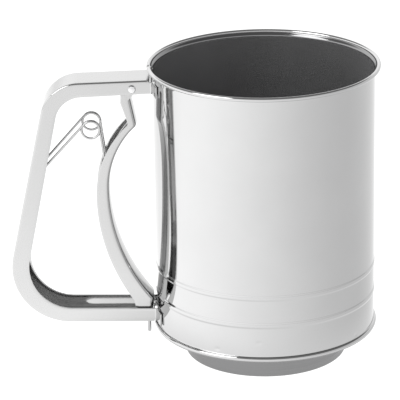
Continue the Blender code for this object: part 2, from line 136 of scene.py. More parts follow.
# Handle and trigger
SHEET = 0.8
HANDLE_HALF_WIDTH = 9.0
CHANNEL_BEND = 0.9
HANDLE_WEB = ((-53.0, 137.0), (-100.6, 135.7), (-126.3, 17.4), (-53.0, 16.8))
HANDLE_WEB_RADII = (18.5, 27.3)
HANDLE_EDGE = ((-53.0, 130.7), (-94.8, 129.0), (-116.2, 24.6), (-53.0, 23.5))
HANDLE_EDGE_RADII = (12.5, 20.5)
HANDLE_SLOT_X = (-86.4, -51.0)
HANDLE_SLOT_HALF_WIDTH = 4.2
HANDLE_SLOT_Z = (14.0, 20.0)
HANDLE_EDGE_ROUNDING = 0.16
TAB_BEND = 0.9
TAB_CLEARANCE = 0.3
TAB_END_DEGREES = 18.3
TRIGGER_HALF_WIDTH = 7.4
TRIGGER_BEND = 1.9
TRIGGER_CROWN = 0.6
TRIGGER_EDGE_ROUNDING = 0.14
TRIGGER_WEB = {
    "neck": ((-62.3, 130.4), (-61.3, 125.6)),
    "kink": (-59.1, 114.3),
    "kink_radius": 2.2,
    "waist": (-72.6, 83.5),
    "upper_radius": 42.0,
    "lower_radius": 88.0,
    "low_z": 28.0,
    "foot": (-53.4, 20.2),
}
TRIGGER_EDGE = {
    "neck": ((-66.5, 129.8), (-66.7, 125.8)),
    "kink": (-63.2, 115.2),
    "kink_radius": 2.0,
    "waist": (-78.9, 80.0),
    "upper_radius": 47.0,
    "lower_radius": 93.0,
    "low_z": 27.6,
    "foot": (-60.6, 20.2),
}
KINK_TO_BOW = 3.0
FOOT_Z = (19.8, 20.6)
# One half of the foot plate in plan; the other half mirrors it
FOOT_OUTLINE = ((-60.0, 7.0), (-56.0, 7.0), (-54.7, 4.6), (-53.7, 1.5))
PIVOT = (-61.2, 133.0)
EAR_RADIUS = 2.8
EAR_DEGREES = (-20, 170)
EAR_ROOT = ((-66.2, 125.0), (-65.0, 125.0))
EAR_INSET = 0.02
PIVOT_HOLE_RADIUS = 1.45
PIVOT_HOLE_REACH = 12.0
RIVET_SHANK_RADIUS = 1.2
RIVET_CLEARANCE = 0.05
ROD_HOLE_RADIUS = 1.5
ROD_HOLE_Z = (18.0, 22.0)
# The opening in the trigger's web that the rod passes through
WEB_SLOT_X = (-57.0, -50.0)
WEB_SLOT_Y = (-2.2, 3.2)
WEB_SLOT_Z = (21.4, 27.5)

# How finely the sheet's flange, bend and half web are divided
FLANGE_STEPS = 4
BEND_STEPS = 6
WEB_STEPS = 5
# How much of a bulging web's arc is left before it meets the bend
CROWN_SHARE = 0.7

# Spring
SPRING_COIL = (-80.8, 112.7)
SPRING_COIL_RADIUS = 4.2
SPRING_COIL_Y = (5.5, 7.2)
SPRING_COIL_STEPS = 110
SPRING_BEND_STEPS = 6
SPRING_TRIGGER_END = (-74.0, 93.0)
SPRING_GRIP_BEND = (-108.0, 88.5)
SPRING_BEND = 1.4
SPRING_WIRE_RADIUS = 0.55
# Where the spring would bend with the trigger, from the first point to the second; make_spring places both
# points but does not bend the spring
SPRING_STILL = (-88.0, 0.0, 104.0)
SPRING_MOVING = (-75.0, 0.0, 95.0)

# Drive rod
ROD_RADIUS = 0.9
ROD_BEND = 1.8
ROD_ROW_SPACING = 3.0
ROD_Z = 24.5
ROD_OUTER = (-55.6, 0.0)
ROD_INNER = (9.85, 17.0)
ROD_INNER_END_Z = 19.2
CLIP_CLEARANCE = 0.3

# Bridge, pin and stirrer
BRIDGE_SHEET = 1.0
BRIDGE_BEND = 1.8
BRIDGE_ROW_SPACING = 4.0
BRIDGE_EDGE_ROUNDING = 0.2
PIN_SHANK_RADIUS = 2.0
PIN_HEAD_THICKNESS = 1.5
PIN_HEAD_ROUNDING = 1.2
PIN_FOOT_ROUNDING = 0.5
# A turned piece's outline starts this close to its axis
AXIS_GAP = 0.01
FIRST_BLADE_AZIMUTH = 30.0
BLADE_COUNT = 6
BLADE_START = 7.0
BLADE_LENGTH = 28.5
BLADE_SHEET = 0.6
BLADE_WAVES = 5
BLADE_WAVE_HEIGHT = 1.4
BLADE_STEPS = 80
BLADE_LEVELS = 4
BLADE_EDGE_ROUNDING = 0.12
STAR_HUB_RADIUS = 9.0
STAR_EDGE_ROUNDING = 0.18
ARM_WIDTH = 5.0
ARM_REACH = 36.0
CRANK_AZIMUTH = 60.0
CRANK_WIDTH = 8.0
CRANK_REACH = 24.0
CRANK_SLOT = (17.0, 19.6)
CRANK_SLOT_HALF_WIDTH = 1.6

# Steel: clouds and specks in spots a metre, and the grain's greatest height in metres
CLOUD_SCALE = 38.0
SPECK_SCALE = 900.0
SPECK_SHARE = 0.15
GRAIN_HEIGHT = 0.00004
# The lines times the clouds run about from the first to the second
WEAR_RANGE = (0.12, 0.42)
STAIN_GAIN = 2.2

# Floor and sky: strengths of their light, and distances from the can's axis in metres
FLOOR_HALF_SIZE = 6.0
FLOOR_PAINT = 0.04
# Close to the can the glow is GLOW_NEAR, lower than ahead and on the handle's side: painted shade around
# the can's foot.
GLOW_NEAR = 1.18
GLOW_AHEAD = 1.38
GLOW_TO_RIGHT = -0.425
GLOW_BEHIND = -0.24
GLOW_EVEN_BEHIND = -0.6
GLOW_START_RADIUS = 0.045
GLOW_FULL_RADIUS = 0.12
SKY_HORIZON = 1.08
SKY_ABOVE = 1.45
SKY_TO_RIGHT = -0.30
SKY_TOP = 0.30
SKY_LOW_FADE = (0.02, 0.30)
SKY_HIGH_FADE = (0.38, 0.58)

# Key light, in metres and watts
KEY_PLACE = (-0.9, -0.5, 1.1)
KEY_TARGET = (0, 0, 0.07)
KEY_SIZE = 0.9
KEY_POWER = 9.0

# Camera, in degrees, millimetres of lens and sensor, and metres away from the target
CAMERA_ELEVATION = 20.228
CAMERA_ROLL = -0.917
CAMERA_DISTANCE = 1.2895
CAMERA_LENS = 245.98
CAMERA_SENSOR = 36.0
CAMERA_CLIP_START = 0.05
CAMERA_TARGET = (-30.445, 0.0, 74.755)


# Placing pieces


def placed(points):
    """Millimetres about the can's axis, as the frame's metres."""
    return np.asarray(points, float) * MM + np.array((AXIS_X, 0, 0))


def mesh_object(name, points, faces):
    mesh = bpy.data.meshes.new(name)
    mesh.from_pydata(placed(points).tolist(), [], faces)
    mesh.validate()
    obj = bpy.data.objects.new(name, mesh)
    bpy.context.scene.collection.objects.link(obj)
    return obj


def apply_modifiers(obj):
    graph = bpy.context.evaluated_depsgraph_get()
    mesh = bpy.data.meshes.new_from_object(obj.evaluated_get(graph))
    obj.modifiers.clear()
    obj.data = mesh


def smooth(obj, degrees=32):
    """Shades smooth every edge that bends less than this."""
    obj.data.shade_smooth()
    obj.data.set_sharp_from_angle(angle=math.radians(degrees))


def thicken(obj, sheet):
    modifier = obj.modifiers.new("sheet", "SOLIDIFY")
    modifier.thickness = sheet * MM
    modifier.offset = -1.0
    modifier.use_even_offset = True
    apply_modifiers(obj)


def round_edges(obj, width, segments=2, degrees=40):
    modifier = obj.modifiers.new("edges", "BEVEL")
    modifier.width = width * MM
    modifier.segments = segments
    modifier.limit_method = "ANGLE"
    modifier.angle_limit = math.radians(degrees)
    apply_modifiers(obj)


def cut(obj, cutter, operation="DIFFERENCE"):
    modifier = obj.modifiers.new("cut", "BOOLEAN")
    modifier.operation = operation
    modifier.solver = "EXACT"
    modifier.object = cutter
    apply_modifiers(obj)
    bpy.data.objects.remove(cutter)


def as_piece(obj, node, body, material):
    """Makes obj the visible form of a CAD node. With no body it rides none."""
    obj.data.materials.clear()
    obj.data.materials.append(material)
    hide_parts(node)
    if body:
        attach(obj, body)


# Lines, grids and tubes


def arc(centre, radius, start_degrees, end_degrees, steps):
    points = []
    for step in range(steps + 1):
        angle = math.radians(start_degrees + (end_degrees - start_degrees) * step / steps)
        points.append((centre[0] + radius * math.cos(angle), centre[1] + radius * math.sin(angle)))
    return points


def line(start, end, steps):
    start, end = Vector(start), Vector(end)
    return [tuple(start.lerp(end, step / steps)) for step in range(steps + 1)]


def rounded_corner(before, corner, after, radius, steps):
    """The arc that rounds one corner of an outline."""
    before, corner, after = Vector(before), Vector(corner), Vector(after)
    back = (before - corner).normalized()
    ahead = (after - corner).normalized()
    half = back.angle(ahead) / 2
    centre = corner + (back + ahead).normalized() * radius / math.sin(half)
    start = corner + back * radius / math.tan(half) - centre
    end = corner + ahead * radius / math.tan(half) - centre
    first = math.degrees(math.atan2(start.y, start.x))
    turn = (math.degrees(math.atan2(end.y, end.x)) - first + 180) % 360 - 180
    return arc(centre, radius, first, first + turn, steps)


def rounded_outline(corners, radii, steps):
    """An open outline with a radius at each of its inner corners."""
    points = [tuple(corners[0])]
    for index, radius in enumerate(radii):
        points += rounded_corner(*corners[index : index + 3], radius, steps)
    return points + [tuple(corners[-1])]


def divided(path, spacing):
    """The same path with extra points, about one spacing apart."""
    dense = []
    for first, second in zip(path, path[1:]):
        pieces = max(1, int((Vector(second) - Vector(first)).length / spacing))
        dense += line(first, second, pieces)[:-1]
    return dense + [path[-1]]


def grid_faces(rows, columns, wrap_columns=False, wrap_rows=False, skip=lambda row, column: False):
    faces = []
    for row in range(rows if wrap_rows else rows - 1):
        following = (row + 1) % rows
        for column in range(columns if wrap_columns else columns - 1):
            if skip(row, column):
                continue
            beside = (column + 1) % columns
            corners = (row * columns + column, row * columns + beside)
            faces.append((*corners, following * columns + beside, following * columns + column))
    return faces


def turned_points(profile, centre=(0.0, 0.0), steps=ROUND_STEPS):
    angles = np.arange(steps) * 2 * math.pi / steps
    profile = np.asarray(profile, float)
    points = np.empty((len(profile), steps, 3))
    points[:, :, 0] = profile[:, :1] * np.cos(angles) + centre[0]
    points[:, :, 1] = profile[:, :1] * np.sin(angles) + centre[1]
    points[:, :, 2] = profile[:, 1:]
    return points


def turned_ring(name, profile, steps=96, centre=(0.0, 0.0)):
    """A solid turned from a closed outline of (radius, z), run clockwise."""
    points = turned_points(profile, centre, steps)
    faces = grid_faces(len(profile), steps, wrap_columns=True, wrap_rows=True)
    obj = mesh_object(name, points.reshape(-1, 3), [face[::-1] for face in faces])
    smooth(obj)
    return obj


def ring_outline(inner, outer, low, high, edge):
    """A flat ring's section with small rounded edges."""
    corners = [(inner, high), (outer, high), (outer, low), (inner, low)]
    outline = []
    for index, corner in enumerate(corners):
        outline += rounded_corner(corners[index - 1], corner, corners[(index + 1) % 4], edge, 3)
    return outline


def tube_mesh(path, radius, sides, round_ends=True):
    """Points and faces of a round wire along a path, with domed or flat ends."""
    path = np.asarray(path, float)
    tangents = np.gradient(path, axis=0)
    tangents /= np.linalg.norm(tangents, axis=1)[:, None]
    side = np.cross(tangents[0], (0.0, 0.0, 1.0))
    if np.linalg.norm(side) < 0.1:
        side = np.cross(tangents[0], (0.0, 1.0, 0.0))
    rings = []
    dome = [(math.sin(a), math.cos(a)) for a in np.radians((8, 35, 62))] if round_ends else []
    for index, (point, tangent) in enumerate(zip(path, tangents)):
        side = side - tangent * np.dot(side, tangent)
        side /= np.linalg.norm(side)
        other = np.cross(tangent, side)
        stations = [(1.0, 0.0)]
        if index == 0:
            stations = [(size, -along) for size, along in dome] + stations
        if index == len(path) - 1:
            stations = stations + [(size, along) for size, along in reversed(dome)]
        for size, along in stations:
            angles = np.arange(sides) * 2 * math.pi / sides
            ring = np.outer(np.cos(angles), side) + np.outer(np.sin(angles), other)
            rings.append(point + ring * radius * size + tangent * radius * along)
    points = np.concatenate(rings)
    faces = grid_faces(len(rings), sides, wrap_columns=True)
    faces.append(tuple(reversed(range(sides))))
    faces.append(tuple(range(len(points) - sides, len(points))))
    return points, faces


def tube_object(name, paths, radius, sides=12, round_ends=True):
    all_points, all_faces, start = [], [], 0
    for path in paths:
        points, faces = tube_mesh(path, radius, sides, round_ends)
        all_points.append(points)
        all_faces += [tuple(index + start for index in face) for face in faces]
        start += len(points)
    obj = mesh_object(name, np.concatenate(all_points), all_faces)
    smooth(obj, 50)
    return obj


def extruded(name, outline, low, high):
    """A flat plate from an outline in plan."""
    count = len(outline)
    points = [(x, y, low) for x, y in outline] + [(x, y, high) for x, y in outline]
    faces = [tuple(reversed(range(count))), tuple(range(count, 2 * count))]
    for index in range(count):
        beside = (index + 1) % count
        faces.append((index, beside, beside + count, index + count))
    return mesh_object(name, points, faces)


def cylinder_object(name, radius, start, end, steps=40):
    return tube_object(name, [[start, end]], radius, steps, round_ends=False)


def box_object(name, x, y, z):
    outline = [(x[0], y[0]), (x[1], y[0]), (x[1], y[1]), (x[0], y[1])]
    return extruded(name, outline, z[0], z[1])


# Materials


def node_maker(material):
    nodes, links = material.node_tree.nodes, material.node_tree.links

    def make(kind, settings=None, **inputs):
        node = nodes.new(kind)
        for key, value in (settings or {}).items():
            setattr(node, key, value)
        for key, value in inputs.items():
            socket = node.inputs[key.replace("_", " ")]
            if isinstance(value, bpy.types.NodeSocket):
                links.new(value, socket)
            else:
                socket.default_value = value
        return node

    return make


def combined(make, operation, *values):
    """One sum or product of sockets and numbers."""
    node = make("ShaderNodeMath", {"operation": operation})
    for socket, value in zip(node.inputs, values):
        if isinstance(value, bpy.types.NodeSocket):
            node.id_data.links.new(value, socket)
        else:
            socket.default_value = value
    return node.outputs[0]


def fade(make, value, start, end, before, after):
    """A value that changes smoothly from before to after between start and end."""
    ramp = make("ShaderNodeMapRange", {"interpolation_type": "SMOOTHSTEP"}, Value=value)
    ramp.inputs["From Min"].default_value = start
    ramp.inputs["From Max"].default_value = end
    ramp.inputs["To Min"].default_value = before
    ramp.inputs["To Max"].default_value = after
    return ramp.outputs["Result"]


def steel(name, tint, roughness, roughness_spread, grain, grain_depth, stain=0.04, metallic=1.0):
    """Stainless steel: fine rolling or brushing lines, cloudy wear and a slight change of tint.

    grain is the stretch of the fine lines along X, Y and Z, in lines a metre.
    """
    material = bpy.data.materials.new(name)
    material.use_nodes = True
    make = node_maker(material)
    shader = material.node_tree.nodes["Principled BSDF"]
    links = material.node_tree.links
    place = make("ShaderNodeTexCoord").outputs["Object"]

    stretched = make("ShaderNodeMapping", Vector=place, Scale=grain).outputs["Vector"]
    lines = make("ShaderNodeTexNoise", Vector=stretched, Scale=1.0, Detail=3.0, Roughness=0.6)
    clouds = make("ShaderNodeTexNoise", Vector=place, Scale=CLOUD_SCALE, Detail=4.0, Roughness=0.55)
    specks = make("ShaderNodeTexNoise", Vector=place, Scale=SPECK_SCALE, Detail=2.0)

    blended = combined(make, "MULTIPLY", lines.outputs["Fac"], clouds.outputs["Fac"])
    spread = make("ShaderNodeMapRange", Value=blended)
    spread.inputs["From Min"].default_value = WEAR_RANGE[0]
    spread.inputs["From Max"].default_value = WEAR_RANGE[1]
    spread.inputs["To Min"].default_value = max(roughness - roughness_spread, 0.0)
    spread.inputs["To Max"].default_value = roughness + roughness_spread
    links.new(spread.outputs["Result"], shader.inputs["Roughness"])

    dark = tuple(channel * (1 - stain * STAIN_GAIN) for channel in tint)
    mix = make("ShaderNodeMix", {"data_type": "RGBA"})
    links.new(clouds.outputs["Fac"], mix.inputs["Factor"])
    mix.inputs["A"].default_value = (*dark, 1.0)
    mix.inputs["B"].default_value = (*tint, 1.0)
    links.new(mix.outputs["Result"], shader.inputs["Base Color"])

    height = combined(make, "MULTIPLY_ADD", specks.outputs["Fac"], SPECK_SHARE, lines.outputs["Fac"])
    bump = make("ShaderNodeBump", Height=height, Strength=grain_depth, Distance=GRAIN_HEIGHT)
    links.new(bump.outputs["Normal"], shader.inputs["Normal"])
    shader.inputs["Metallic"].default_value = metallic
    return material


def make_materials():
    around = (6.0, 6.0, 2600.0)
    along = (60.0, 2600.0, 60.0)
    return {
        "polished": steel("polished_steel", (0.505, 0.505, 0.506), 0.06, 0.025, around, 0.05),
        "inside": steel("inner_steel", (0.49, 0.49, 0.495), 0.08, 0.03, around, 0.10, 0.08, 0.80),
        # The base's brushing is its own; its dark tint is painted shade beneath the can, and the can's
        # downward faces under the bead take it too.
        "collar": steel("brushed_collar", (0.25, 0.25, 0.252), 0.40, 0.12, around, 0.80),
        # The rolled edge's flare is tinted far darker than the wall as painted shade inside the mouth; its
        # slightly rougher gloss is its own.
        "lip_painted_shade": steel("rolled_lip_painted_shade", (0.22, 0.22, 0.222), 0.14, 0.05, around, 0.20),
        "formed": steel("formed_steel", (0.478, 0.478, 0.477), 0.14, 0.05, along, 0.12),
        "trigger": steel("trigger_steel", (0.48, 0.48, 0.479), 0.13, 0.05, along, 0.12),
        "wire": steel("drawn_wire", (0.45, 0.45, 0.45), 0.22, 0.06, (900.0, 900.0, 900.0), 0.10),
        "mesh": steel("woven_mesh", (0.42, 0.42, 0.425), 0.42, 0.08, (700.0, 700.0, 700.0), 0.20, 0.10),
        "plate": steel("pressed_plate", (0.62, 0.62, 0.625), 0.24, 0.07, (1800.0, 60.0, 60.0), 0.18, 0.07),
        "turned": steel("turned_steel", (0.68, 0.68, 0.685), 0.20, 0.06, (40.0, 40.0, 1800.0), 0.20),
    }


# The can


def wall_profile():
    """The can's outer face from the curled rim's end, over its wire, down the wall and under the base."""
    centre = (MOUTH_RADIUS + RIM_TUBE_RADIUS, RIM_CENTRE_Z)
    profile = arc(centre, RIM_TUBE_RADIUS - CAN_SHEET, *RIM_CURL_DEGREES, RIM_CURL_STEPS)
    radius, top = profile[-1]
    for step in range(1, FLARE_STEPS + 1):
        share = step / FLARE_STEPS
        inward = (WALL_RADIUS - radius) * share * share * (3 - 2 * share)
        profile.append((radius + inward, top + (FLARE_START_Z - top) * share))
    plain_end, plain_rows = PLAIN_ROWS_Z
    ribs_start, ribs_end, rib_spacing = RIB_ROWS_Z
    heights = list(np.linspace(FLARE_START_Z - 1, plain_end, plain_rows))
    heights += list(np.arange(ribs_start, ribs_end, -rib_spacing))
    heights += list(np.arange(ribs_end, BEAD_TOP_Z + 0.3, -LOW_ROW_SPACING))
    for z in heights:
        profile.append((WALL_RADIUS + rib_height(z), z))
    half = (BEAD_TOP_Z - BEAD_BOTTOM_Z) / 2
    bead_centre = (BEAD_RADIUS - half, BEAD_TOP_Z - half)
    profile += arc((WALL_RADIUS + BEAD_FILLET, BEAD_TOP_Z + 0.25), BEAD_FILLET, 180, 270, 4)
    profile += arc(bead_centre, half, 65, -90, 16)
    return profile + line((bead_centre[0] - 0.5, BEAD_BOTTOM_Z), (LIP_RADIUS, BEAD_BOTTOM_Z), 4)


def rib_height(z):
    height = 0.0
    for low, high in RIBS_Z:
        rise = min(max((z - low) / RIB_EDGE, 0.0), 1.0) * min(max((high - z) / RIB_EDGE, 0.0), 1.0)
        height += RIB_HEIGHT * rise * rise * (3 - 2 * rise)
    return height


def press_weld_marks(points):
    """Small round dents where the base is spot-welded to the wall."""
    radius = np.hypot(points[:, :, 0], points[:, :, 1])
    azimuth = np.arctan2(points[:, :, 1], points[:, :, 0])
    for degrees, z in WELD_MARKS:
        around = (azimuth - math.radians(degrees) + math.pi) % (2 * math.pi) - math.pi
        distance = np.hypot(around * WALL_RADIUS, points[:, :, 2] - z) / WELD_MARK_RADIUS
        dent = WELD_MARK_DEPTH * np.exp(-(distance**2) * WELD_MARK_FALL)
        scale = (radius - dent) / radius
        points[:, :, 0] *= scale
        points[:, :, 1] *= scale


def press_rim_seam(points):
    """The short step where the curled rim's two ends meet above the handle."""
    azimuth = np.degrees(np.arctan2(points[:, :, 1], points[:, :, 0])) % 360
    near = np.exp(-(((azimuth - RIM_SEAM_AZIMUTH) / RIM_SEAM_DEGREES) ** 2))
    radius = np.hypot(points[:, :, 0], points[:, :, 1])
    rim = (points[:, :, 2] > RIM_CENTRE_Z - RIM_TUBE_RADIUS) & (radius > MOUTH_RADIUS + CAN_SHEET)
    scale = 1 - near * rim * RIM_SEAM_INWARD / MOUTH_RADIUS
    points[:, :, 0] *= scale
    points[:, :, 1] *= scale
    points[:, :, 2] -= near * rim * RIM_SEAM_DROP


def pick_face_material(polygon):
    """The number of the can's material that a face takes, in the order of make_can's arguments."""
    centre = (polygon.center - Vector((AXIS_X, 0, 0))) / MM
    radius = math.hypot(centre.x, centre.y)
    facing_in = polygon.normal.x * centre.x + polygon.normal.y * centre.y < 0
    # Downward faces below the bead's top take the dark base steel, a painted shade under the can.
    if polygon.normal.z < -0.3 and centre.z < BEAD_TOP_Z:
        return 2
    # Inward faces of the flare below the rim's centre take the dark rolled steel, a painted shade inside
    # the mouth.
    if centre.z > FLARE_START_Z:
        return 3 if facing_in and radius < MOUTH_RADIUS and centre.z < RIM_CENTRE_Z else 0
    return 1 if radius < WALL_RADIUS - CAN_SHEET / 2 else 0


def make_can(outside, inside, underside_painted_shade, lip_painted_shade):
    points = turned_points(wall_profile())
    low_y, high_y = WALL_SLOT_Y[0] + WALL_SLOT_ALLOWANCE[0], WALL_SLOT_Y[1] + WALL_SLOT_ALLOWANCE[1]
    press_weld_marks(points)
    press_rim_seam(points)

    def in_slot(row, column):
        x, y, z = points[row, column]
        return x < 0 and low_y < y < high_y and WALL_SLOT_Z[0] < z < WALL_SLOT_Z[1]

    faces = grid_faces(len(points), ROUND_STEPS, wrap_columns=True, skip=in_slot)
    can = mesh_object("can_shell", points.reshape(-1, 3), [face[::-1] for face in faces])
    thicken(can, CAN_SHEET)
    smooth(can, 50)
    as_piece(can, "can_body", "can", outside)
    for other in (inside, underside_painted_shade, lip_painted_shade):
        can.data.materials.append(other)
    for polygon in can.data.polygons:
        polygon.material_index = pick_face_material(polygon)


def make_rim_wire(material):
    radius = MOUTH_RADIUS + RIM_TUBE_RADIUS
    section = arc((radius, RIM_CENTRE_Z), RIM_WIRE_RADIUS, 90, -270, 10)[:-1]
    ring = turned_ring("rim_wire_ring", section, 180)
    as_piece(ring, "rim_wire", "can", material)


def make_base_pan(material):
    corners = [
        (SKIRT_RADIUS, PAN_HIGH.z),
        (SKIRT_RADIUS, PAN_FLANGE_Z),
        (COLLAR_RADIUS, PAN_FLANGE_Z),
        (COLLAR_RADIUS, PAN_LOW.z),
        (COLLAR_RADIUS - COLLAR_HEM, PAN_LOW.z),
    ]
    profile = divided(rounded_outline(corners, PAN_BENDS, 5), PAN_ROW_SPACING)
    points = turned_points(profile)
    faces = grid_faces(len(profile), ROUND_STEPS, wrap_columns=True)
    pan = mesh_object("base_collar", points.reshape(-1, 3), [face[::-1] for face in faces])
    thicken(pan, PAN_SHEET)
    smooth(pan, 50)
    as_piece(pan, "base_pan", "can", material)


def woven_wires(swap, phase):
    """One direction of the screen's wires, each split where the pivot pin passes."""
    count = int(SCREEN_RADIUS / SCREEN_PITCH)
    paths = []
    for number in range(-count, count + 1):
        across = number * SCREEN_PITCH
        reach = math.sqrt(SCREEN_RADIUS**2 - across**2)
        hole = math.sqrt(max(PIN_HOLE_RADIUS**2 - across**2, 0.0))
        spans = [(-reach, -hole), (hole, reach)] if hole else [(-reach, reach)]
        for start, end in spans:
            steps = max(3, int((end - start) / SCREEN_PITCH * SCREEN_POINTS_A_PITCH))
            along = np.linspace(start, end, steps)
            wave = SCREEN_WIRE_RADIUS * np.cos(math.pi * (along / SCREEN_PITCH + number + phase))
            flat = np.full(steps, across)
            plan = (flat, along) if swap else (along, flat)
            paths.append(np.column_stack((*plan, SCREEN_Z + wave)))
    return paths


def make_screen(material):
    wires = woven_wires(False, 0) + woven_wires(True, 1)
    screen = tube_object("woven_screen", wires, SCREEN_WIRE_RADIUS, SCREEN_WIRE_SIDES, round_ends=False)
    as_piece(screen, "sieve_screen", "can", material)


def make_flat_rings(materials):
    """Rings and washers: node, inner radius, edge rounding, material and record slot."""
    rings = (
        ("screen_ring", SCREEN_RING_INNER_RADIUS, 0.2, "plate", "formed_steel"),
        ("lower_washer", PIN_HOLE_RADIUS, 0.08, "turned", "brushed_steel"),
        ("upper_washer", PIN_HOLE_RADIUS, 0.15, "turned", "brushed_steel"),
        ("agitator_spacer", PIN_HOLE_RADIUS, 0.3, "turned", "brushed_steel"),
        ("top_washer", PIN_HOLE_RADIUS, 0.15, "turned", "brushed_steel"),
        ("rod_clip", ROD_RADIUS + CLIP_CLEARANCE, 0.15, "turned", "brushed_steel"),
    )
    for node, inner, edge, finish, slot in rings:
        low, high = box_mm(node)
        centre = ((low.x + high.x) / 2, (low.y + high.y) / 2)
        outline = ring_outline(inner, (high.x - low.x) / 2, low.z, high.z, edge)
        ring = turned_ring(node + "_fine", outline, 128, centre)
        body = "rod" if node == "rod_clip" else "can"
        as_piece(ring, node, body, materials[finish])


def make_pivot_pin(material):
    low, high = box_mm("pivot_pin")
    head = (high.x - low.x) / 2
    under_head, over_foot = high.z - PIN_HEAD_THICKNESS, low.z + PIN_HEAD_THICKNESS
    crown = (head - PIN_HEAD_ROUNDING - 0.2, high.z - PIN_HEAD_ROUNDING)
    top = [(AXIS_GAP, high.z)] + arc(crown, PIN_HEAD_ROUNDING, 80, 0, 8) + [(head, under_head)]
    foot = [(PIN_SHANK_RADIUS, under_head), (PIN_SHANK_RADIUS, over_foot), (head, over_foot)]
    corner = (head - PIN_FOOT_ROUNDING, low.z + PIN_FOOT_ROUNDING)
    foot += arc(corner, PIN_FOOT_ROUNDING, 0, -90, 5) + [(AXIS_GAP, low.z)]
    pin = turned_ring("pivot_pin_fine", top + foot, 72)
    as_piece(pin, "pivot_pin", "can", material)


def make_bridge(material):
    low, high = box_mm("pivot_bridge")
    side_view = [(low.x, low.z), (low.x, high.z), (high.x, high.z), (high.x, low.z)]
    path = divided(rounded_outline(side_view, (BRIDGE_BEND, BRIDGE_BEND), 8), BRIDGE_ROW_SPACING)
    half = (high.y - low.y) / 2
    sides = np.linspace(half, -half, 7)
    points = [(x, y, z) for x, z in path for y in sides]
    bridge = mesh_object("pivot_bridge_fine", points, grid_faces(len(path), len(sides)))
    thicken(bridge, BRIDGE_SHEET)
    round_edges(bridge, BRIDGE_EDGE_ROUNDING)
    cut(bridge, cylinder_object("hole", PIN_HOLE_RADIUS, (0, 0, high.z - 3), (0, 0, high.z + 3)))
    smooth(bridge)
    as_piece(bridge, "pivot_bridge", "can", material)


# The stirrer


def blade_azimuth(index):
    return FIRST_BLADE_AZIMUTH + 360 / BLADE_COUNT * index


def arm_outline(azimuth, width, reach):
    """One arm with a rounded tip, in plan, from the hub's centre."""
    turn = Matrix.Rotation(math.radians(azimuth), 2)
    half = width / 2
    points = [(0.0, -half)] + arc((reach - half, 0), half, -90, 90, 12) + [(0.0, half)]
    return [tuple(turn @ Vector(point)) for point in points]


def make_star(material):
    low, high = box_mm("agitator_star")
    star = extruded("stirrer_star", arc((0, 0), STAR_HUB_RADIUS, 0, 360, 96)[:-1], low.z, high.z)
    arms = [(blade_azimuth(index), ARM_WIDTH, ARM_REACH) for index in range(BLADE_COUNT)]
    for arm in arms + [(CRANK_AZIMUTH, CRANK_WIDTH, CRANK_REACH)]:
        cut(star, extruded("arm", arm_outline(*arm), low.z, high.z), "UNION")
    cut(star, cylinder_object("hole", PIN_HOLE_RADIUS, (0, 0, low.z - 1), (0, 0, high.z + 1)))
    turn = Matrix.Rotation(math.radians(CRANK_AZIMUTH), 2)
    near, far = CRANK_SLOT
    slot = arc((far, 0), CRANK_SLOT_HALF_WIDTH, -90, 90, 10)
    slot += arc((near, 0), CRANK_SLOT_HALF_WIDTH, 90, 270, 10)
    cutter = extruded("slot", [tuple(turn @ Vector(point)) for point in slot], low.z - 1, high.z + 1)
    cut(star, cutter)
    round_edges(star, STAR_EDGE_ROUNDING)
    smooth(star)
    as_piece(star, "agitator_star", "agitator", material)


def make_blades(material):
    low, high = box_mm("agitator_blade_2")
    for number in range(BLADE_COUNT):
        turn = Matrix.Rotation(math.radians(blade_azimuth(number)), 3, "Z")
        points = []
        for step in range(BLADE_STEPS + 1):
            share = step / BLADE_STEPS
            side = BLADE_WAVE_HEIGHT * math.cos(math.pi * 2 * BLADE_WAVES * share) + BLADE_SHEET / 2
            for level in range(BLADE_LEVELS + 1):
                z = low.z + (high.z - low.z) * level / BLADE_LEVELS
                points.append(tuple(turn @ Vector((BLADE_START + BLADE_LENGTH * share, side, z))))
        name = "agitator_blade_" + str(number + 1)
        blade = mesh_object(name + "_fine", points, grid_faces(BLADE_STEPS + 1, BLADE_LEVELS + 1))
        thicken(blade, BLADE_SHEET)
        round_edges(blade, BLADE_EDGE_ROUNDING, degrees=60)
        smooth(blade, 50)
        as_piece(blade, name, "agitator", material)


# The drive rod


def make_drive_rod(material):
    outer, inner = Vector(ROD_OUTER), Vector(ROD_INNER)
    length = (inner - outer).length
    along = (inner - outer) / length
    outer_end_z = box_mm("drive_rod")[0].z + ROD_RADIUS
    inner_end_z = ROD_INNER_END_Z + ROD_RADIUS
    side_view = [(0.0, outer_end_z), (0.0, ROD_Z), (length, ROD_Z), (length, inner_end_z)]
    path = divided(rounded_outline(side_view, (ROD_BEND, ROD_BEND), 10), ROD_ROW_SPACING)
    points = [(*(outer + along * reach), z) for reach, z in path]
    rod = tube_object("drive_rod_fine", [points], ROD_RADIUS, 20)
    as_piece(rod, "drive_rod", "rod", material)


# The handle


def paired_rail(corners, radii):
    top_corner = rounded_corner(*corners[0:3], radii[0], 28)
    low_corner = rounded_corner(*corners[1:4], radii[1], 32)
    rail = line(corners[0], top_corner[0], 12)[:-1] + top_corner
    rail += line(top_corner[-1], low_corner[0], 24)[1:-1] + low_corner
    return rail + line(low_corner[-1], corners[3], 14)[1:]


def half_section(depth, half_width, bend, crown):
    """Half the outline across a bent sheet: a flange, a bend and the web, flat or bulging by its crown."""
    if crown == 0:
        corner = arc((depth - bend, half_width - bend), bend, 90, 0, BEND_STEPS)
        web = line(corner[-1], (depth, 0.0), WEB_STEPS)
        return line((0.0, half_width), corner[0], FLANGE_STEPS)[:-1] + corner + web[1:]
    radius = (half_width**2 + crown**2) / (2 * crown)
    lean = math.degrees(math.asin(half_width / radius))
    web = arc((depth - radius, 0), radius, lean * CROWN_SHARE, 0, WEB_STEPS - 1)
    corner = rounded_corner((0.0, half_width), (depth - crown, half_width), web[0], bend, BEND_STEPS)
    return line((0.0, half_width), corner[0], FLANGE_STEPS)[:-1] + corner + web


